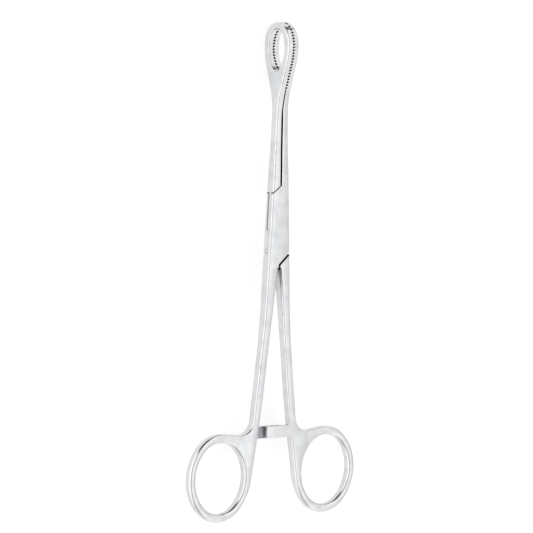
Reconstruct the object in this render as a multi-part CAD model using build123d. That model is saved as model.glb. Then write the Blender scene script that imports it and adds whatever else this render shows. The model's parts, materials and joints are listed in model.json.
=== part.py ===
from build123d import *
import math
import os

# Frame: pivot axis parallel to Z, tips toward +Y, jaws open along X, front of the instrument toward +Z.
# The shapes are drawn about the pivot, and placed at the end with the origin under the middle of the
# bounding box. All sizes are in millimetres.

# Reach along Y, from the pivot axis
jaw_reach = 72.65
handle_reach = 90.5

# Oval jaw, standing across the handle plane: its tip and shoulders turn by jaw_turn, its straight flanks
# lean inwards by jaw_lean, and flank_share is the part of the flank's radius in those of flank and neck
jaw_width = 13.9
jaw_wall = 2.5
jaw_peak = 8.4
jaw_turn = 60.0
jaw_lean = 17.4
flank_share = 0.423
jaw_oval = 33.15
tip_bend = 1.9
tip_round = 3.0

# Egg-shaped window through the jaw
tip_rim = 2.45
window_width = 8.7
window_length = 15.2
window_top_round = 3.5
window_low_round = 1.9
window_edge = 0.40

# Serrations on the meeting faces
teeth_length = 24.1
tooth_pitch = 1.05
tooth_depth = 0.48
tooth_land = 0.15
mate_gap = 0.04

# Jaw arm between the oval and the lock
arm_thick = 3.38
arm_even = 8.5
arm_bend = 575.0
slit_half = 0.42
slit_run = 12.5
slit_edge = 0.22
edge_round = 0.70

# Box lock
box_thick = 3.9
box_half_top = 3.69
box_half_low = 4.98
box_top = 14.1
box_low = 14.4
box_flat_over = 0.9
box_flat_under = 2.4
top_slope = 3.1
low_slope = 4.5
top_shoulder_gap = 0.40
low_shoulder_gap = 0.85
web_corner = 2.3
neck_thick = 1.25
neck_side_clear = 0.05
neck_edge_clear = 0.30
neck_recess = 0.25
pin_radius = 1.5
pin_clear = 0.04
pin_flare = 0.30
mark_radius = 1.0
mark_depth = 0.18
mark_below = 9.6

# Shank: a bar that leaves the box, bends at a knee above the ratchet and runs into its ring
shank_width = 3.25
shank_thick = 3.32
shank_bend = 310.0
knee_above = 24.0
knee_half_gap = 6.2
knee_round = 127.0
thin_run = 40.0

# Finger ring: an oval of four arcs, and the web that fills the corner between it and the shank
ring_spread = 24.6
ring_hole_width = 22.2
ring_hole_length = 25.5
ring_band = 3.2
ring_edge = 1.05
web_lean = 7.0
web_round = 5.5

# Ratchet
ratchet_above = 15.25
ratchet_height = 4.3
ratchet_overlap = 7.4
ratchet_root = 2.4
ratchet_edge = 0.25
ratchet_pitch = 2.4
ratchet_depth = 0.6
ratchet_land = 0.2
ratchet_teeth = 3
ratchet_clear = 0.05

# How far blanks and cutters run past what they shape
cut_past = 4.0

# What follows from the sizes above
tip_y = jaw_reach
peak_y = tip_y - jaw_peak
oval_y = tip_y - jaw_oval
teeth_y = tip_y - teeth_length
ring_y = -handle_reach
ring_a = ring_hole_width / 2 + ring_band
ring_b = ring_hole_length / 2 + ring_band
ratchet_y = ring_y + ratchet_above
knee_y = ring_y + knee_above
flat_top = box_top + box_flat_over
flat_low = -box_low - box_flat_under
end_low = -box_low - box_flat_under / 2
half_box = box_thick / 2
half_arm = arm_thick / 2
half_shank = shank_thick / 2
half_jaw = jaw_width / 2
reach = jaw_reach + handle_reach + ring_b


# Half width of the lock in plan at a height y: straight sides that widen towards the handles
def box_half(y):
    return box_half_top + (box_half_low - box_half_top) * (box_top - y) / (box_top + box_low)


# Where the line through a and b meets the line through c and d
def crossing(a, b, c, d):
    a, b, c, d = Vector(*a), Vector(*b), Vector(*c), Vector(*d)
    u = b - a
    v = d - c
    share = ((c.X - a.X) * v.Y - (c.Y - a.Y) * v.X) / (u.X * v.Y - u.Y * v.X)
    return (a.X + u.X * share, a.Y + u.Y * share)


# Lines through a row of points, with a tangent arc at each point that has a radius of its own
def rounded(start, corners, end):
    edges = []
    here = Vector(*start)
    for i, (x, y, radius) in enumerate(corners):
        corner = Vector(x, y)
        after = Vector(*(corners[i + 1][:2] if i + 1 < len(corners) else end))
        came = (corner - Vector(*start)).normalized() if i == 0 else (corner - before).normalized()
        goes = (after - corner).normalized()
        length = radius * math.tan(math.radians(came.get_angle(goes)) / 2)
        edges.append(Line(here, corner - came * length))
        edges.append(TangentArc(corner - came * length, corner + goes * length, tangent=came))
        here = corner + goes * length
        before = corner
    edges.append(Line(here, Vector(*end)))
    return edges


# Oval of four tangent arcs: the offset of its centres, and its arcs clockwise from 45 degrees
def oval_shift(a, b):
    return (b - a) / (2 - math.sqrt(2))


def oval(x, y, a, b):
    h = oval_shift(a, b)
    return [
        CenterArc((x - h, y), a + h, 45, -90),
        CenterArc((x, y - h), b - h, -45, -90),
        CenterArc((x + h, y), a + h, -135, -90),
        CenterArc((x, y + h), b - h, -225, -90),
    ]


# Inner edge of the left handle below its knee: a line that touches the ring's inner arc, at this angle
def inner_touch():
    h = oval_shift(ring_a, ring_b)
    centre = Vector(-ring_spread - h, ring_y)
    away = Vector(-knee_half_gap, knee_y) - centre
    angle = math.degrees(math.atan2(away.Y, away.X) - math.acos((ring_a + h) / away.length))
    return angle, centre + Vector(ring_a + h, 0).rotate(Axis.Z, angle)


def prism(points, low, high):
    face = Face(Wire.make_polygon([Vector(x, y, low) for x, y in points]))
    return extrude(face, amount=high - low, dir=(0, 0, 1))


# Plan outline of one half: jaw arm on the right, handle and ring on the left
def plan_outline():
    bend_y = tip_y - tip_bend
    tip_turn = math.degrees(math.acos(1 - (jaw_wall - mate_gap) / tip_round))
    top_y = bend_y + tip_round * math.sin(math.radians(tip_turn))
    arm_corner = crossing((jaw_wall, 0), (jaw_wall, 1), (box_half(0), 0), (box_half(1), 1))
    jaw = [CenterArc((jaw_wall - tip_round, bend_y), tip_round, 0, tip_turn)]
    jaw += rounded((jaw_wall, bend_y), [(*arm_corner, arm_bend)], (box_half(end_low), end_low))

    angle, touch = inner_touch()
    inner = rounded((-slit_half, end_low), [(-knee_half_gap, knee_y, knee_round)], (touch.X, touch.Y))

    h = oval_shift(ring_a, ring_b)
    ring = [CenterArc((-ring_spread - h, ring_y), ring_a + h, angle, -45 - angle)]
    ring += oval(-ring_spread, ring_y, ring_a, ring_b)[1:3]
    ring.append(CenterArc((-ring_spread, ring_y + h), ring_b - h, 135, -45 - web_lean))

    web = ring[-1] @ 1
    web_next = web + Vector(1, 0).rotate(Axis.Z, -web_lean)
    back = [(-slit_half - shank_width, end_low), (-knee_half_gap - shank_width, knee_y)]
    web_at = crossing((web.X, web.Y), (web_next.X, web_next.Y), *back)
    shank_at = crossing((-box_half(0), 0), (-box_half(1), 1), *back)
    corners = [(*web_at, web_round), (*shank_at, shank_bend)]
    outer = rounded((web.X, web.Y), corners, (-box_half_top, box_top))

    half_run = slit_run / 2
    step = (slit_half - mate_gap) / 2
    slit = [
        Line((-box_half_top, box_top), (slit_half, box_top)),
        Line((slit_half, box_top), (slit_half, teeth_y - slit_run)),
        TangentArc((slit_half, teeth_y - slit_run), (slit_half - step, teeth_y - half_run), tangent=(0, 1)),
        TangentArc((mate_gap, teeth_y), (mate_gap + step, teeth_y - half_run), tangent=(0, -1)),
        Line((mate_gap, teeth_y), (mate_gap, top_y)),
    ]
    across = [Line((box_half(end_low), end_low), (-slit_half, end_low))]
    return Face(Wire.combine(jaw + across + inner + ring + outer + slit)[0])


# Side outline of the forging: thickness along Y, with the oval of the jaw at the top
def side_outline():
    s = math.sin(math.radians(jaw_turn))
    c = math.cos(math.radians(jaw_turn))
    tip_arc = (jaw_peak * (1 - s) - half_jaw * c) / (1 - c - s)
    shoulder_arc = (half_jaw * (1 - c) - jaw_peak * s) / (1 - c - s)
    turn_at = Vector(tip_arc * s, tip_y - tip_arc * (1 - c))
    peak_at = Vector(half_jaw, peak_y)

    # the straight flank lies between the flank's arc and the neck's arc, tangent to both
    out = Vector(math.cos(math.radians(jaw_lean)), -math.sin(math.radians(jaw_lean)))
    radii = -((peak_y - oval_y) * out.Y + (half_jaw - half_arm) * out.X) / (1 - out.X)
    flank_round = radii * flank_share
    neck_round = radii - flank_round
    flank_end = Vector(half_jaw - flank_round, peak_y) + out * flank_round
    neck_start = Vector(half_arm + neck_round, oval_y) - out * neck_round

    up = Vector(0, 1)
    down = Vector(0, -1)
    swell_top = Vector(half_arm, oval_y - arm_even)
    swell_mid = Vector((half_arm + half_box) / 2, (oval_y - arm_even + flat_top) / 2)
    swell_low = Vector(half_box, flat_top)
    thin_top = Vector(half_box, flat_low)
    thin_mid = Vector((half_box + half_shank) / 2, flat_low - thin_run / 2)
    thin_low = Vector(half_shank, flat_low - thin_run)
    end = Vector(half_shank, ring_y - ring_b - cut_past)
    right = [
        TangentArc(peak_at, turn_at, tangent=up),
        TangentArc(peak_at, flank_end, tangent=down),
        Line(flank_end, neck_start),
        TangentArc(Vector(half_arm, oval_y), neck_start, tangent=up),
        Line(Vector(half_arm, oval_y), swell_top),
        TangentArc(swell_top, swell_mid, tangent=down),
        TangentArc(swell_low, swell_mid, tangent=up),
        Line(swell_low, thin_top),
        TangentArc(thin_top, thin_mid, tangent=down),
        TangentArc(thin_low, thin_mid, tangent=up),
        Line(thin_low, end),
    ]
    edges = [CenterArc((0, tip_y - tip_arc), tip_arc, 90 - jaw_turn, 2 * jaw_turn)]
    edges += right + [mirror(edge, Plane.YZ) for edge in right]
    edges.append(Line((-end.X, end.Y), (end.X, end.Y)))
    return Plane(origin=(0, 0, 0), x_dir=(0, 0, 1), z_dir=(-1, 0, 0)) * Face(Wire.combine(edges)[0])


# Jaw window: an egg of four arcs, drawn with Z to the right and Y up, and grown by a margin
def window_outline(grow=0.0):
    top = tip_y - tip_rim
    low = top - window_length
    half = window_width / 2
    wide_top = half - window_top_round
    wide_low = half - window_low_round
    apart = window_length - window_top_round - window_low_round
    ratio = wide_low / wide_top - 1
    under = apart ** 2 - wide_low * (window_top_round - window_low_round)
    drop = (math.sqrt(apart ** 2 + ratio * under) - apart) / ratio
    widest_y = top - window_top_round - drop
    flank = (drop ** 2 / wide_top + window_top_round + half) / 2
    top_turn = math.degrees(math.atan2(drop, flank - half))
    low_turn = math.degrees(math.atan2(apart - drop, flank - half))
    edges = [
        CenterArc((0, top - window_top_round), window_top_round + grow, top_turn, 180 - 2 * top_turn),
        CenterArc((0, low + window_low_round), window_low_round + grow, 180 + low_turn, 180 - 2 * low_turn),
        CenterArc((half - flank, widest_y), flank + grow, -low_turn, low_turn + top_turn),
        CenterArc((flank - half, widest_y), flank + grow, 180 - top_turn, low_turn + top_turn),
    ]
    return Plane(origin=(0, 0, 0), x_dir=(0, 0, 1), z_dir=(-1, 0, 0)) * Face(Wire.combine(edges)[0])


# Finger hole of the left ring, grown by a margin
def finger_outline(grow=0.0):
    arcs = oval(-ring_spread, ring_y, ring_hole_width / 2 + grow, ring_hole_length / 2 + grow)
    return Face(Wire.combine(arcs)[0])


# Cutter for a hole with rounded rims: a prism along an axis, with a flange over each flat face it meets
def rim_cutter(outline, axis, low, high, faces, edge):
    cutter = extrude(Pos(axis * low) * outline(), amount=high - low, dir=axis)
    for level in faces:
        side = 1 if level > 0 else -1
        flange = Pos(axis * level) * outline(edge * 1.3)
        cutter += extrude(flange, amount=high - abs(level), dir=axis * side)
        middles = [e @ 0.5 for e in (Pos(axis * level) * outline()).edges()]
        rim = [e for e in cutter.edges() if min((e @ 0.5 - m).length for m in middles) < 0.001]
        cutter = fillet(rim, edge)
    return cutter


# One half as forged and polished, before the lock is cut
def forging():
    plan = extrude(Pos(0, 0, -jaw_width) * plan_outline(), amount=2 * jaw_width, dir=(0, 0, 1))
    side = extrude(Pos(-reach, 0, 0) * side_outline(), amount=2 * reach, dir=(1, 0, 0))
    body = (plan & side).solids()[0]

    def along(solid, near):
        picked = []
        for edge in solid.edges():
            a, m, b = edge @ 0, edge @ 0.5, edge @ 1
            across = abs(a.Y - b.Y) < 0.001 and abs(a.Y - m.Y) < 0.001
            if not across and near(m):
                picked.append(edge)
        return picked

    right_side = along(body, lambda m: m.X > jaw_wall / 2)
    body = fillet(right_side, edge_round).solids()[0]
    left_side = along(body, lambda m: m.X < -slit_half and abs(m.Z) > half_shank / 2)
    body = fillet(left_side, edge_round).solids()[0]
    slit_side = along(body, lambda m: 0 < m.X < 2 * slit_half and m.Y > box_top and abs(m.Z) > half_arm / 2)
    body = chamfer(slit_side, slit_edge).solids()[0]
    across = Vector(1, 0, 0)
    body -= rim_cutter(window_outline, across, -1, jaw_wall + cut_past, [jaw_wall], window_edge)
    up = Vector(0, 0, 1)
    body -= rim_cutter(finger_outline, up, -box_thick, box_thick, [half_shank, -half_shank], ring_edge)
    return body.solids()[0]


# Ratchet arm of one half: a blade half as thick as the handle, with saw teeth on its inner face
def ratchet_arm():
    low = ratchet_y - ratchet_height / 2
    high = ratchet_y + ratchet_height / 2
    tip_x = -ratchet_overlap / 2
    touch = inner_touch()[1]
    handle_lean = (-touch.X - knee_half_gap) / (knee_y - touch.Y)
    root_x = knee_half_gap + handle_lean * (knee_y - ratchet_y) + edge_round * 1.2
    deep_x = root_x + shank_width / 2
    blade = prism([(tip_x, low), (deep_x, low), (deep_x, high), (tip_x, high)], ratchet_clear, half_shank)
    free_edges = [e for e in blade.edges() if e.length > ratchet_overlap or (e @ 0.5).X < tip_x + 0.01]
    blade = fillet([e for e in free_edges if (e @ 0.5).Z > ratchet_clear + 0.1], ratchet_edge)
    span = ratchet_height / 2 + 2.5 * ratchet_root
    shift = handle_lean * span
    handle = Polyline(
        (root_x + shift, ratchet_y - span), (deep_x + shift, ratchet_y - span),
        (deep_x - shift, ratchet_y + span), (root_x - shift, ratchet_y + span), close=True,
    )
    near_x = root_x - 2 * ratchet_root
    stub = Rectangle(root_x + 1 - near_x, ratchet_height, align=(Align.MIN, Align.CENTER))
    joined = make_face(handle) + Pos(near_x, ratchet_y) * stub
    corners = [v for v in joined.vertices() if abs(abs(v.Y - ratchet_y) - ratchet_height / 2) < 0.01]
    joined = fillet([v for v in corners if v.X > near_x + 1], ratchet_root)
    root = Pos(0, 0, ratchet_clear) * extrude(joined, amount=half_shank - ratchet_clear, dir=(0, 0, 1))
    arm = blade + root
    for i in range(ratchet_teeth):
        x = tip_x + ratchet_land + i * ratchet_pitch
        end_x = x + ratchet_pitch - ratchet_land
        notch = Polyline(
            (x, ratchet_clear - 0.5), (x, ratchet_clear + ratchet_depth),
            (end_x, ratchet_clear), (end_x, ratchet_clear - 0.5), close=True,
        )
        arm -= extrude(Plane.XZ * make_face(notch), amount=200, both=True)
    return arm


# Shoulder lines of the lock in plan, and the same lines moved away by a gap
top_out_y = box_top - top_slope
low_out_y = -box_low + low_slope
top_in = Vector(slit_half, box_top)
top_out = Vector(-box_half(top_out_y), top_out_y)
low_in = Vector(-slit_half, -box_low)
low_out = Vector(box_half(low_out_y), low_out_y)


def on_line(a, b, x, gap=0.0):
    slope = (b.Y - a.Y) / (b.X - a.X)
    return a.Y + slope * (x - a.X) + gap * math.hypot(1, slope)


# Neck of the lock: side edges, edges that run from one side to the other, and the slot around them
side_y = web_corner
neck_in = Vector(-slit_half - 0.1, box_top + 1.5)
neck_out = Vector(box_half(side_y) - neck_recess, side_y)
neck_low = Vector(slit_half + 0.1, -box_low - 1.5)


def slot_x(y):
    slope = (neck_out.X - neck_in.X) / (neck_out.Y - neck_in.Y)
    return neck_out.X + slope * (y - neck_out.Y) + neck_edge_clear * math.hypot(1, slope)


def neck():
    outline = [
        (neck_in.X, neck_in.Y),
        (neck_out.X, neck_out.Y),
        (box_half(low_out_y) - neck_recess, low_out_y),
        (box_half(neck_low.Y) - neck_recess, neck_low.Y),
        (neck_low.X, neck_low.Y),
        (-box_half(-side_y) + neck_recess, -side_y),
        (-box_half(top_out_y) + neck_recess, top_out_y),
        (-box_half(neck_in.Y) + neck_recess, neck_in.Y),
    ]
    return prism(outline, -neck_thick / 2, neck_thick / 2)


def slot():
    far = box_top + cut_past
    wide = neck_thick / 2 + neck_side_clear
    outline = [(slot_x(far), far), (slot_x(-far), -far), (-slot_x(far), -far), (-slot_x(-far), far)]
    return prism(outline, -wide, wide)


# Grooves across a meeting face, from the end of the toothed length past the tip. Those of the two jaws
# face each other, so that the lands meet.
def grooves(side):
    lift = tooth_depth * tooth_land / (tooth_pitch - tooth_land)
    count = int(teeth_length / tooth_pitch) + 1
    points = [(side * (mate_gap - 1), teeth_y)]
    for i in range(count):
        y = teeth_y + i * tooth_pitch
        points.append((side * (mate_gap - lift), y))
        points.append((side * (mate_gap + tooth_depth), y + tooth_pitch / 2))
    points.append((side * (mate_gap - lift), teeth_y + count * tooth_pitch))
    points.append((side * (mate_gap - 1), teeth_y + count * tooth_pitch))
    return prism(points, -jaw_width, jaw_width)


# Pivot pin, flared at both ends where it is riveted, ground flush with the cheeks
def pin_shape():
    profile = Polyline(
        (0, -half_box), (pin_radius + pin_flare, -half_box), (pin_radius, -half_box + pin_flare),
        (pin_radius, half_box - pin_flare), (pin_radius + pin_flare, half_box), (0, half_box), close=True,
    )
    return revolve(Plane.XZ * make_face(profile), Axis.Z)


def one(shape):
    solids = shape.solids()
    return max(solids, key=lambda solid: solid.volume)


blank = forging()
far_out = 3 * box_half_low
pin = pin_shape()
ratchet_front = ratchet_arm()
ratchet_rear = Rot(0, 180, 0) * ratchet_front

# Box half: right jaw, slotted box, left handle, rear ratchet arm
above = [
    (top_in.X, top_in.Y),
    (top_in.X, box_top + 1),
    (-far_out, box_top + 1),
    (-far_out, on_line(top_in, top_out, -far_out)),
]
below = [
    (low_in.X, low_in.Y),
    (far_out, on_line(low_in, low_out, far_out)),
    (far_out, end_low - 1),
    (low_in.X, end_low - 1),
]
mark_x = -box_half(-mark_below)
mark_ball = (mark_radius ** 2 + mark_depth ** 2) / (2 * mark_depth)
box_half_part = one(blank - prism(above, -box_thick, box_thick))
box_half_part = one(box_half_part - prism(below, -box_thick, box_thick))
box_half_part = one(box_half_part - slot())
box_half_part = one(box_half_part - pin)
box_half_part = one(box_half_part - grooves(1))
punch = Pos(mark_x + mark_depth - mark_ball, -mark_below, 0) * Rot(0, 0, 180) * Sphere(mark_ball)
box_half_part = one(box_half_part - punch)
box_half_part = one(box_half_part + ratchet_rear)

# Tenon half: left jaw, neck, right handle, front ratchet arm
mirrored = mirror(blank, Plane.YZ)
upper = [
    (-slit_half, on_line(top_in, top_out, -slit_half, top_shoulder_gap)),
    (-slit_half, box_top),
    (jaw_wall, box_top),
    (jaw_wall, tip_y + 1),
    (-far_out, tip_y + 1),
    (-far_out, on_line(top_in, top_out, -far_out, top_shoulder_gap)),
]
right = 2 * ring_spread + ring_a
lower = [
    (slit_half, on_line(low_in, low_out, slit_half, -low_shoulder_gap)),
    (slit_half, end_low),
    (0, end_low),
    (0, ring_y - ring_b - 1),
    (right, ring_y - ring_b - 1),
    (right, on_line(low_in, low_out, right, -low_shoulder_gap)),
]
tenon_half_part = one(mirrored & prism(upper, -jaw_width, jaw_width))
tenon_half_part = tenon_half_part + one(mirrored & prism(lower, -jaw_width, jaw_width))
tenon_half_part = one(tenon_half_part + neck())
tenon_half_part = one(tenon_half_part - Cylinder(pin_radius + pin_clear, box_thick))
tenon_half_part = one(tenon_half_part - grooves(-1))
tenon_half_part = one(tenon_half_part + ratchet_front)

# Placing: origin under the middle of the bounding box
place = Pos(0, -(tip_y + ring_y - ring_b) / 2, half_jaw)
os.makedirs("parts", exist_ok=True)
export_step(place * box_half_part, "parts/box_half.step")
export_step(place * tenon_half_part, "parts/tenon_half.step")
export_step(place * pin, "parts/pivot_pin.step")
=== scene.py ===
import json
import math

import bmesh
import bpy
from mathutils import Matrix, Vector


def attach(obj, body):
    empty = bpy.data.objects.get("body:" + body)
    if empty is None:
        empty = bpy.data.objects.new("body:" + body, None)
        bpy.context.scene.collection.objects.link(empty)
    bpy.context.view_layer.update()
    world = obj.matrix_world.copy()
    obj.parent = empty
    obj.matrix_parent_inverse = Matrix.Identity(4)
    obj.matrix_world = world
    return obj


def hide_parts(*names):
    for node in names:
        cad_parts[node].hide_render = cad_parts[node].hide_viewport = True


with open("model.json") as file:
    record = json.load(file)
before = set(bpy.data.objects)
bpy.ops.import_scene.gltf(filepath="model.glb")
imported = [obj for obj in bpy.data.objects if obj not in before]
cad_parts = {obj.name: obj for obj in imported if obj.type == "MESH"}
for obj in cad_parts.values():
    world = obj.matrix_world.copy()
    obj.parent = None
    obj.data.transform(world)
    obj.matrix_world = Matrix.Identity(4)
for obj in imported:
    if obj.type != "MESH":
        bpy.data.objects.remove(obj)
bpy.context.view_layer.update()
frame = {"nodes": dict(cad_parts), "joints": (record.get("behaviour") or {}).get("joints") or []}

# Box half: one stainless steel forging, hot forged, hardened, ground and buffed. It carries the right
# jaw, the slotted box of the lock, the left shank, the rear ratchet blade and the left finger ring.
# The CAD solid has its whole form; here it is a clean, smooth skin in polished steel.
MM = 0.001
pivot_place = frame["joints"][0]["pos_m"]
pivot_y, tool_middle = pivot_place[1], pivot_place[2]
weld_gap = 0.0005 * MM
crease_angle = math.radians(24)

# Finger ring: an oval band of four arcs, buffed round all the way except where the shank joins it
ring_spread = 24.6 * MM
ring_y = -73.6 * MM
hole_half_width = 11.1 * MM
hole_half_length = 12.75 * MM
band_half = 1.6 * MM
band_half_thick = 1.66 * MM
section_power = 2.6  # 2 would be an ellipse, more is squarer
# the join, by its angle round the ring from the side that faces the other ring
join_middle = math.radians(37)
join_half = math.radians(46)
join_fade = math.radians(24)
# the band's triangles are cut finer than the solid's before they are rounded
band_grid = 0.5 * MM
band_cuts = 3
band_slack = 1.02
slope_step = 0.01 * MM


def band_place(x, y, side):
    """How far a point of a ring lies outside the band's middle line, and how free the band is there."""
    across = -side * (x - side * ring_spread)
    along = y - ring_y
    shift = (hole_half_length - hole_half_width) / (2 - math.sqrt(2))
    if abs(along) <= abs(across) + shift:
        radius = math.hypot(abs(across) + shift, along) - (hole_half_width + shift)
    else:
        radius = math.hypot(across, abs(along) - shift) - (hole_half_length - shift)
    turned = math.atan2(along, across) - join_middle
    apart = abs(math.remainder(turned, math.tau))
    share = min(max((apart - join_half) / join_fade, 0.0), 1.0)
    eased = share * share * (3 - 2 * share)
    return radius - band_half, eased


def round_band(work, side):
    """Refine a ring's band and bring its section to a full round."""
    limit = band_half * band_slack

    def on_band(vert):
        out, free = band_place(vert.co.x, vert.co.y, side)
        return abs(out) < limit and free > 0 and abs(vert.co.y - ring_y) < 2 * hole_half_length

    for _ in range(band_cuts):
        held = {vert for vert in work.verts if on_band(vert)}
        long_edges = [
            edge for edge in work.edges
            if edge.verts[0] in held and edge.verts[1] in held and edge.calc_length() > band_grid
        ]
        bmesh.ops.subdivide_edges(work, edges=long_edges, cuts=1)
        bmesh.ops.triangulate(work, faces=[face for face in work.faces if len(face.verts) > 3])
    for vert in work.verts:
        if not on_band(vert):
            continue
        out, free = band_place(vert.co.x, vert.co.y, side)
        up = vert.co.z - tool_middle
        reach = abs(out / band_half) ** section_power + abs(up / band_half_thick) ** section_power
        if reach <= 1:
            continue
        scale = 1 + free * (reach ** (-1 / section_power) - 1)
        slope_x = (band_place(vert.co.x + slope_step, vert.co.y, side)[0] - out) / slope_step
        slope_y = (band_place(vert.co.x, vert.co.y + slope_step, side)[0] - out) / slope_step
        vert.co.x += (scale - 1) * out * slope_x
        vert.co.y += (scale - 1) * out * slope_y
        vert.co.z = tool_middle + up * scale


# The wheel takes a little more off the edges of a wide face than off its middle, so it reflects as a crown
crown = math.radians(8)
level_look = 0.9995
face_height = 0.8 * MM
least_lean = 0.02


def crown_faces(mesh):
    """Tilt the shading of the wide faces outward where they meet their rounded edges."""
    wide = [
        abs(face.normal.z) > level_look and abs(face.center.z - tool_middle) > face_height
        for face in mesh.polygons
    ]
    lean = {}
    for face, is_wide in zip(mesh.polygons, wide):
        if is_wide or abs(face.normal.z) < math.cos(crease_angle):
            continue
        for vert in face.vertices:
            outward = lean.setdefault(vert, Vector((0.0, 0.0)))
            outward += Vector((face.normal.x, face.normal.y))
    on_wide = {vert for face, is_wide in zip(mesh.polygons, wide) if is_wide for vert in face.vertices}
    # a corner at (0, 0, 0) keeps its own normal
    tilted = [(0.0, 0.0, 0.0)] * len(mesh.loops)
    for face in mesh.polygons:
        if abs(face.normal.z) < math.cos(crease_angle):
            continue
        for loop in face.loop_indices:
            vert = mesh.loops[loop].vertex_index
            if vert in on_wide and vert in lean and lean[vert].length > least_lean:
                side_x, side_y = lean[vert].normalized()
                up = math.copysign(math.cos(crown), face.normal.z)
                tilted[loop] = (math.sin(crown) * side_x, math.sin(crown) * side_y, up)
    mesh.normals_split_custom_set(tilted)


def smooth_skin(node, name, ring_side):
    """A merged copy of a CAD node's mesh with its ring buffed round, smooth but for its creases."""
    mesh = frame["nodes"][node].data.copy()
    mesh.name = name
    work = bmesh.new()
    work.from_mesh(mesh)
    bmesh.ops.remove_doubles(work, verts=work.verts, dist=weld_gap)
    round_band(work, ring_side)
    work.normal_update()
    for face in work.faces:
        face.smooth = True
    for edge in work.edges:
        edge.smooth = edge.calc_face_angle(math.pi) < crease_angle
    work.to_mesh(mesh)
    work.free()
    crown_faces(mesh)
    mesh.materials.clear()
    piece = bpy.data.objects.new(name, mesh)
    bpy.context.scene.collection.objects.link(piece)
    return piece


def colour(code):
    """An sRGB hex colour as linear RGBA."""
    parts = [int(code[i:i + 2], 16) / 255 for i in (1, 3, 5)]
    linear = [c / 12.92 if c <= 0.04045 else ((c + 0.055) / 1.055) ** 2.4 for c in parts]
    return (*linear, 1.0)


def add_node(tree, kind, settings=None, links=None):
    """A shader node with its properties or input values set, and its inputs linked."""
    node = tree.nodes.new(kind)
    for key, value in (settings or {}).items():
        if isinstance(key, str) and hasattr(node, key):
            setattr(node, key, value)
        else:
            node.inputs[key].default_value = value
    for key, output in (links or {}).items():
        tree.links.new(output, node.inputs[key])
    return node


# The serrations' rims: the wheel rounds them over, and they mirror the dark of the groove. Here that dark
# is
# painted shade: a dark spot painted on the front face round each groove, by the seam
groove_first = 65.45 * MM
groove_pitch = 1.05 * MM
rim_half_width = 0.62 * MM
rim_half_length = 0.36 * MM
rim_inside, rim_outside = 0.85, 1.05
rim_shade = 0.92


def groove_rim_painted_shade(tree, from_middle, past_first):
    """How much painted shade the grooves' rims take, by the distance across from the seam and past the
    first groove.
    """
    from_land = add_node(
        tree, "ShaderNodeMath", {"operation": "PINGPONG", 1: groove_pitch / 2}, {0: past_first},
    )
    from_groove = add_node(
        tree, "ShaderNodeMapRange",
        {"From Max": groove_pitch / 2, "To Min": groove_pitch / 2 / rim_half_length, "To Max": 0.0},
        {"Value": from_land.outputs["Value"]},
    )
    from_seam = add_node(
        tree, "ShaderNodeMath", {"operation": "DIVIDE", 1: rim_half_width}, {0: from_middle},
    )
    spot = add_node(
        tree, "ShaderNodeCombineXYZ", {},
        {"X": from_seam.outputs["Value"], "Y": from_groove.outputs["Result"]},
    )
    spread = add_node(tree, "ShaderNodeVectorMath", {"operation": "LENGTH"}, {0: spot.outputs["Vector"]})
    rim = add_node(
        tree, "ShaderNodeMapRange",
        {
            "interpolation_type": "SMOOTHSTEP",
            "From Min": rim_outside, "From Max": rim_inside, "To Max": rim_shade,
        },
        {"Value": spread.outputs["Value"]},
    )
    on_jaw = add_node(tree, "ShaderNodeMath", {"operation": "GREATER_THAN", 1: 0.0}, {0: past_first})
    rims = add_node(
        tree, "ShaderNodeMath", {"operation": "MULTIPLY"},
        {0: rim.outputs["Result"], 1: on_jaw.outputs["Value"]},
    )
    return rims.outputs["Value"]


# The slit's rims, where it opens out below the serrations, get painted shade in the same way: a dark line
# painted along the seam
slit_rim = 0.3 * MM
slit_inside, slit_outside = 0.8, 1.2
slit_rim_half_run = 7.0 * MM


def slit_rim_painted_shade(tree, from_middle, past_first):
    """How much painted shade the rims of the slit take, and whether the point lies along it."""
    off_seam = add_node(tree, "ShaderNodeMath", {"operation": "ABSOLUTE"}, {0: from_middle})
    edge = add_node(
        tree, "ShaderNodeMapRange",
        {
            "interpolation_type": "SMOOTHSTEP",
            "From Min": slit_rim * slit_outside, "From Max": slit_rim * slit_inside, "To Max": rim_shade,
        },
        {"Value": off_seam.outputs["Value"]},
    )
    by_slit = add_node(
        tree, "ShaderNodeMath", {"operation": "COMPARE", 1: -slit_rim_half_run, 2: slit_rim_half_run},
        {0: past_first},
    )
    return edge.outputs["Result"], by_slit.outputs["Value"]


# Painted shade: close under the lock the gap between the shanks is narrow, and their facing sides are
# painted dark there for the shade that falls between them
gap_top = 3.0 * MM
gap_low = -12.0 * MM


def painted_gap_shade(tree, along):
    """How much painted shade the shanks' facing sides take under the lock."""
    narrow = add_node(
        tree, "ShaderNodeMapRange",
        {"interpolation_type": "SMOOTHSTEP", "From Min": gap_low, "From Max": gap_top}, {"Value": along},
    )
    between = add_node(tree, "ShaderNodeAttribute", {"attribute_name": "between_shanks"})
    shade_here = add_node(
        tree, "ShaderNodeMath", {"operation": "MULTIPLY"},
        {0: narrow.outputs["Result"], 1: between.outputs["Fac"]},
    )
    return shade_here.outputs["Value"]


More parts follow.
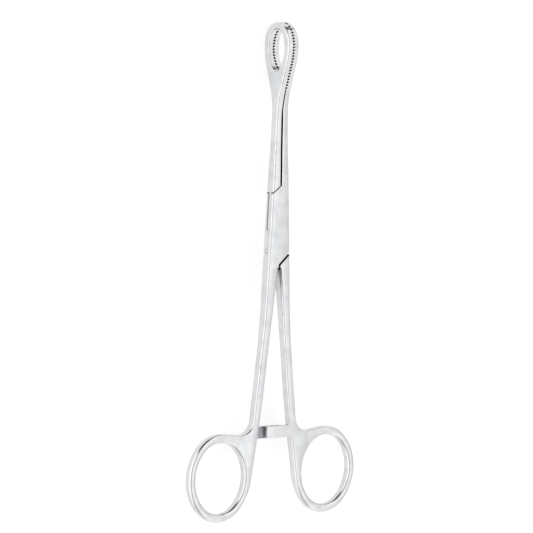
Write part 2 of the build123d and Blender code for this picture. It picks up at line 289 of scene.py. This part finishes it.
# Mirror-polished martensitic stainless steel: hard white metal with a faint cool cast. The buffing wheel
# leaves a slow waviness of a few millimetres, fine lines along the tool and a thin film of haze. Painted
# shade darkens the rims of the grooves and the slit and the gap under the lock, and a dark ring is painted
# on the rim of a round punch mark on the left side of the box, below the neck.
steel_hex = "#DADBDC"
steel_roughness = 0.085
line_spacing = 0.35 * MM
line_stretch = 14.0
line_low, line_high = 0.3, 0.7
line_smoother, line_rougher = 0.02, 0.03
haze_size = 4.0 * MM
haze_roughness = 0.06
film_low, film_high = 0.35, 0.75
haze_hex = "#D0D1D3"
veil_low, veil_high = 0.42, 0.66
wave_length = 9.0 * MM
wave_height = 0.05 * MM
dot_place = (-4.33 * MM, 7.32 * MM, 6.95 * MM)
dot_radius = 0.8 * MM
dot_line = 0.13 * MM
dot_shade = 0.45
# the colour of the painted shade and of the punch mark's ring
painted_shade_hex = "#2C2D2F"
# the sockets of a Mix node when it mixes colours
mix_share, mix_first, mix_second, mix_result = 0, 6, 7, 2


def polished_steel():
    material = bpy.data.materials.new("polished_stainless_steel")
    material.use_nodes = True
    tree = material.node_tree
    tree.nodes.clear()
    place = add_node(tree, "ShaderNodeTexCoord").outputs["Object"]
    parts = add_node(tree, "ShaderNodeSeparateXYZ", {}, {"Vector": place})

    # roughness: the fine lines, and a little more under the haze
    along = add_node(
        tree, "ShaderNodeMapping", {"Scale": (1.0, 1.0 / line_stretch, 1.0)}, {"Vector": place},
    )
    lines = add_node(
        tree, "ShaderNodeTexNoise",
        {"Scale": 1.0 / line_spacing, "Detail": 3.0, "Roughness": 0.6}, {"Vector": along.outputs["Vector"]},
    )
    grain = add_node(
        tree, "ShaderNodeMapRange",
        {
            "From Min": line_low, "From Max": line_high,
            "To Min": steel_roughness - line_smoother, "To Max": steel_roughness + line_rougher,
        },
        {"Value": lines.outputs["Fac"]},
    )
    haze = add_node(
        tree, "ShaderNodeTexNoise", {"Scale": 1.0 / haze_size, "Detail": 4.0}, {"Vector": place},
    )
    film = add_node(
        tree, "ShaderNodeMapRange",
        {"From Min": film_low, "From Max": film_high, "To Min": 0.0, "To Max": haze_roughness},
        {"Value": haze.outputs["Fac"]},
    )
    rough = add_node(
        tree, "ShaderNodeMath", {"operation": "ADD"},
        {0: film.outputs["Result"], 1: grain.outputs["Result"]},
    )

    # the slow waviness
    waves = add_node(
        tree, "ShaderNodeTexNoise", {"Scale": 1.0 / wave_length, "Detail": 1.5}, {"Vector": place},
    )
    swell = add_node(
        tree, "ShaderNodeBump", {"Strength": 1.0, "Distance": wave_height},
        {"Height": waves.outputs["Fac"]},
    )

    # painted shade: on the rims of the grooves and the slit and in the gap under the lock, and the punch
    # mark's ring
    past_first = add_node(
        tree, "ShaderNodeMath", {"operation": "SUBTRACT", 1: groove_first}, {0: parts.outputs["Y"]},
    ).outputs["Value"]
    slit_edge, by_slit = slit_rim_painted_shade(tree, parts.outputs["X"], past_first)
    all_rims = add_node(
        tree, "ShaderNodeMath", {"operation": "MULTIPLY_ADD"},
        {0: slit_edge, 1: by_slit, 2: groove_rim_painted_shade(tree, parts.outputs["X"], past_first)},
    )
    away = add_node(tree, "ShaderNodeVectorMath", {"operation": "DISTANCE", 1: dot_place}, {0: place})
    dot = add_node(
        tree, "ShaderNodeMath", {"operation": "COMPARE", 1: dot_radius, 2: dot_line},
        {0: away.outputs["Value"]},
    )
    dark = add_node(
        tree, "ShaderNodeMath", {"operation": "MULTIPLY_ADD", 1: dot_shade},
        {0: dot.outputs["Value"], 2: painted_gap_shade(tree, parts.outputs["Y"])},
    )
    shade = add_node(
        tree, "ShaderNodeMath", {"operation": "MAXIMUM"},
        {0: dark.outputs["Value"], 1: all_rims.outputs["Value"]},
    )

    # colour: steel, greyed by the haze, with the painted shade and the punch mark's ring over it
    veil = add_node(
        tree, "ShaderNodeMapRange", {"From Min": veil_low, "From Max": veil_high},
        {"Value": haze.outputs["Fac"]},
    )
    hazed = add_node(
        tree, "ShaderNodeMix",
        {"data_type": "RGBA", mix_first: colour(steel_hex), mix_second: colour(haze_hex)},
        {mix_share: veil.outputs["Result"]},
    )
    tone = add_node(
        tree, "ShaderNodeMix", {"data_type": "RGBA", mix_second: colour(painted_shade_hex)},
        {mix_share: shade.outputs["Value"], mix_first: hazed.outputs[mix_result]},
    )
    metal = add_node(
        tree, "ShaderNodeBsdfPrincipled", {"Metallic": 1.0},
        {
            "Base Color": tone.outputs[mix_result], "Roughness": rough.outputs["Value"],
            "Normal": swell.outputs["Normal"],
        },
    )
    add_node(tree, "ShaderNodeOutputMaterial", {}, {"Surface": metal.outputs["BSDF"]})
    return material


# In the slit, in the grooves and on the shoulders of the lock no wheel can reach, and the steel stays dull
# there; its near-black colour is painted shade for the dark inside these narrow places. The neck, the jaws'
# lands and the ratchet's toothed faces are milled after hardening and stay a middling grey, which on the
# recessed ratchet also holds painted shade.
# painted shade: near-black for the slit, the grooves and the lock's shoulders
raw_shade_hex = "#242527"
raw_roughness = 0.45
# milled grey, set darker partly as painted shade for the recessed ratchet
milled_shade_hex = "#9C9DA0"
milled_roughness = 0.3
cutter_pitch = 0.12 * MM
cutter_depth = 0.004 * MM
wave_rate = 20.0  # radians that a Wave texture of scale 1 runs through in a metre
stain_size = 1.5 * MM
stain_low, stain_high = 0.3, 0.7
stain_spread = 0.1


def unbuffed_steel(name, code, roughness, marks_across):
    material = bpy.data.materials.new(name)
    material.use_nodes = True
    tree = material.node_tree
    tree.nodes.clear()
    place = add_node(tree, "ShaderNodeTexCoord").outputs["Object"]
    marks = add_node(
        tree, "ShaderNodeTexWave",
        {
            "bands_direction": marks_across, "Scale": math.tau / wave_rate / cutter_pitch,
            "Distortion": 1.5, "Detail": 2.0,
        },
        {"Vector": place},
    )
    ridges = add_node(
        tree, "ShaderNodeBump", {"Strength": 1.0, "Distance": cutter_depth},
        {"Height": marks.outputs["Fac"]},
    )
    stain = add_node(
        tree, "ShaderNodeTexNoise", {"Scale": 1.0 / stain_size, "Detail": 3.0}, {"Vector": place},
    )
    skin = add_node(
        tree, "ShaderNodeMapRange",
        {
            "From Min": stain_low, "From Max": stain_high,
            "To Min": roughness - stain_spread, "To Max": roughness + stain_spread,
        },
        {"Value": stain.outputs["Fac"]},
    )
    metal = add_node(
        tree, "ShaderNodeBsdfPrincipled",
        {"Base Color": colour(code), "Metallic": 1.0},
        {"Roughness": skin.outputs["Result"], "Normal": ridges.outputs["Normal"]},
    )
    add_node(tree, "ShaderNodeOutputMaterial", {}, {"Surface": metal.outputs["BSDF"]})
    return material


# Which faces of a half the wheel doesn't reach, to be painted near-black for shade, and which are milled,
# told by where they lie and which way they look
flat_look = 0.9
slant_look = 0.3
wall_look = 0.1
slit_reach = 0.5 * MM
groove_reach = 0.56 * MM
land_reach = 0.1 * MM
box_depth = 0.8 * MM
box_reach = 14.9 * MM
neck_reach = 3.2 * MM
shoulder_from = 9.0 * MM
shoulder_to = 18.0 * MM
ratchet_y = -58.35 * MM
ratchet_half = 2.6 * MM
ratchet_reach = 6.5 * MM


def finish_of(face):
    """0 for buffed, 1 for unbuffed and painted near-black for shade, 2 for milled grey."""
    middle, look = face.center, face.normal
    from_pivot = abs(middle.y - pivot_y)
    within = abs(middle.z - tool_middle) < box_depth
    ratchet = within and abs(middle.y - ratchet_y) < ratchet_half and abs(middle.x) < ratchet_reach
    lands = abs(look.x) > flat_look and abs(middle.x) < land_reach
    in_box = abs(middle.x) < neck_reach or abs(look.z) > flat_look
    neck = within and from_pivot < box_reach and in_box
    if ratchet or lands or neck:
        return 2
    slit = abs(look.x) > flat_look and abs(middle.x) < slit_reach
    grooves = abs(look.z) < wall_look and abs(middle.x) < groove_reach and middle.y > pivot_y
    slanted = abs(look.y) > slant_look and abs(look.z) < slant_look
    shoulder = slanted and shoulder_from < from_pivot < shoulder_to
    return int(slit or grooves or shoulder)


# The shanks' facing sides below the lock, and how much of the painted shade under it their edges and flats
# take
lock_half = 12.0 * MM
gap_half = 7.0 * MM
facing_look = 0.3
edge_look = 0.25
edge_dark = 0.9
flat_dark = 0.3


def finish(piece):
    """Give a half its three steels and mark how much painted shade the sides of its shank that face the
    other shank take.
    """
    for material in (steel, unbuffed_painted_shade, milled_painted_shade):
        piece.data.materials.append(material)
    between = piece.data.attributes.new("between_shanks", "FLOAT", "FACE")
    for face in piece.data.polygons:
        face.material_index = finish_of(face)
        inner = face.normal.x * face.center.x < 0 and abs(face.normal.x) > facing_look
        below = face.center.y < pivot_y - lock_half and abs(face.center.x) < gap_half
        dark = edge_dark if abs(face.normal.z) > edge_look else flat_dark
        between.data[face.index].value = dark if inner and below else 0.0


steel = polished_steel()
unbuffed_painted_shade = unbuffed_steel("unbuffed_steel_painted_shade", raw_shade_hex, raw_roughness, "Y")
milled_painted_shade = unbuffed_steel("milled_steel_painted_shade", milled_shade_hex, milled_roughness, "X")

box_side = smooth_skin("box_half", "box_half_polished", -1)
finish(box_side)
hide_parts("box_half")
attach(box_side, "box_side")

# Tenon half: the second forging, with the left jaw, the thin neck that passes through the box, the right
# shank, the front ratchet blade and the right finger ring. Finished on the same wheels as the box half.
tenon_side = smooth_skin("tenon_half", "tenon_half_polished", 1)
finish(tenon_side)
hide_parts("tenon_half")
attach(tenon_side, "tenon_side")

# Pivot pin: a plain steel pin riveted into both cheeks of the box and ground flush, so that it all but
# disappears. It keeps the CAD solid and only takes the steel.
pin = frame["nodes"]["pivot_pin"]
pin.data.materials.clear()
pin.data.materials.append(steel)

# Floor: the plain white top of a light table, a matt opal sheet lit evenly from below, on which the
# instrument lies almost without a shadow.
half = 1.2
opal_hex = "#AAAAAA"
opal_glow = 0.68
corners = [(-half, -half, 0), (half, -half, 0), (half, half, 0), (-half, half, 0)]
floor_mesh = bpy.data.meshes.new("floor")
floor_mesh.from_pydata(corners, [], [(0, 1, 2, 3)])
floor = bpy.data.objects.new("floor", floor_mesh)
bpy.context.scene.collection.objects.link(floor)
opal = bpy.data.materials.new("lit_opal_sheet")
opal.use_nodes = True
opal_shader = opal.node_tree.nodes["Principled BSDF"]
opal_shader.inputs["Base Color"].default_value = colour(opal_hex)
opal_shader.inputs["Roughness"].default_value = 0.9
opal_shader.inputs["Emission Color"].default_value = colour("#FFFFFF")
opal_shader.inputs["Emission Strength"].default_value = opal_glow
floor_mesh.materials.append(opal)

# Studio: a white tent with soft strips of light that run along the instrument, brightest on the camera's
# side and fading towards the right, and two dark openings beyond the tips: a wide one high up and a small
# one low on the right. The display transform is the plain one.
bpy.context.scene.view_settings.view_transform = "Standard"
tent_strength = 1.7
white = (1.0, 1.0, 1.0, 1.0)
# how far a direction points towards +X, and how bright the tent is there
tent_steps = (
    (-1.0, 0.88), (-0.60, 0.88), (-0.40, 0.42), (0.02, 0.42),
    (0.36, 0.78), (0.64, 0.65), (0.83, 0.55), (0.97, 0.46),
)
# azimuth from +X towards +Y, height and half width of each opening, in degrees, and its shade
openings = ((98.0, 24.0, 20.0, 0.04), (64.0, 6.0, 11.0, 0.06))
opening_rim = 9.0
world = bpy.data.worlds.new("studio")
world.use_nodes = True
tent = world.node_tree
tent.nodes.clear()
looking = add_node(tent, "ShaderNodeTexCoord").outputs["Generated"]
parts = add_node(tent, "ShaderNodeSeparateXYZ", {}, {"Vector": looking})
across = add_node(
    tent, "ShaderNodeMapRange", {"From Min": -1.0, "From Max": 1.0}, {"Value": parts.outputs["X"]},
)
strips = add_node(tent, "ShaderNodeValToRGB", {}, {"Fac": across.outputs["Result"]})
ramp = strips.color_ramp
ramp.interpolation = "EASE"
while len(ramp.elements) < len(tent_steps):
    ramp.elements.new(0.5)
for element, (towards, light) in zip(ramp.elements, tent_steps):
    element.position = (towards + 1) / 2
    element.color = (light, light, light, 1.0)
cloth = strips.outputs["Color"]
for azimuth, height, half_width, opening_shade in openings:
    turn_to, rise = math.radians(azimuth), math.radians(height)
    middle = (math.cos(turn_to) * math.cos(rise), math.sin(turn_to) * math.cos(rise), math.sin(rise))
    facing = add_node(tent, "ShaderNodeVectorMath", {"operation": "DOT_PRODUCT", 1: middle}, {0: looking})
    open_here = add_node(
        tent, "ShaderNodeMapRange",
        {
            "interpolation_type": "SMOOTHSTEP",
            "From Min": math.cos(math.radians(half_width + opening_rim)),
            "From Max": math.cos(math.radians(half_width)),
        },
        {"Value": facing.outputs["Value"]},
    )
    opening = add_node(
        tent, "ShaderNodeMix",
        {"data_type": "RGBA", mix_second: (opening_shade, opening_shade, opening_shade, 1.0)},
        {mix_share: open_here.outputs["Result"], mix_first: cloth},
    )
    cloth = opening.outputs[mix_result]
seen = add_node(tent, "ShaderNodeLightPath").outputs["Is Camera Ray"]
backdrop = add_node(
    tent, "ShaderNodeMix", {"data_type": "RGBA", mix_second: white}, {mix_share: seen, mix_first: cloth},
)
glow = add_node(
    tent, "ShaderNodeBackground", {"Strength": tent_strength}, {"Color": backdrop.outputs[mix_result]},
)
add_node(tent, "ShaderNodeOutputWorld", {}, {"Surface": glow.outputs["Background"]})
bpy.context.scene.world = world

# Camera: the photograph looks from the left, 50 degrees above the plane in which the jaws open, a little
# beyond the tips, from 1.25 m away, and is turned by a small roll.
turn = math.radians(40)
lift = math.radians(4)
roll = math.radians(1.4)
reach = 1.25
pixel = 0.36 * MM
picture = 533
pivot_u = 277.2
pivot_v = 224.0
film_width = 36.0
nearest, farthest = 0.05, 20.0

pivot = Vector(pivot_place)
back = Vector((-math.sin(turn) * math.cos(lift), math.sin(lift), math.cos(turn) * math.cos(lift)))
level_right = Vector((math.cos(turn), 0.0, math.sin(turn)))
level_up = back.cross(level_right)
right = level_right * math.cos(roll) + level_up * math.sin(roll)
up = level_up * math.cos(roll) - level_right * math.sin(roll)
eye = pivot + back * reach
camera_data = bpy.data.cameras.new("camera")
camera_data.sensor_width = film_width
camera_data.lens = film_width * reach / (picture * pixel)
camera_data.shift_x = (picture / 2 - pivot_u) / picture
camera_data.shift_y = (pivot_v - picture / 2) / picture
camera_data.clip_start = nearest
camera_data.clip_end = farthest
camera = bpy.data.objects.new("camera", camera_data)
camera.matrix_world = Matrix((
    (right.x, up.x, back.x, eye.x),
    (right.y, up.y, back.y, eye.y),
    (right.z, up.z, back.z, eye.z),
    (0.0, 0.0, 0.0, 1.0),
))
bpy.context.scene.collection.objects.link(camera)
bpy.context.scene.camera = camera
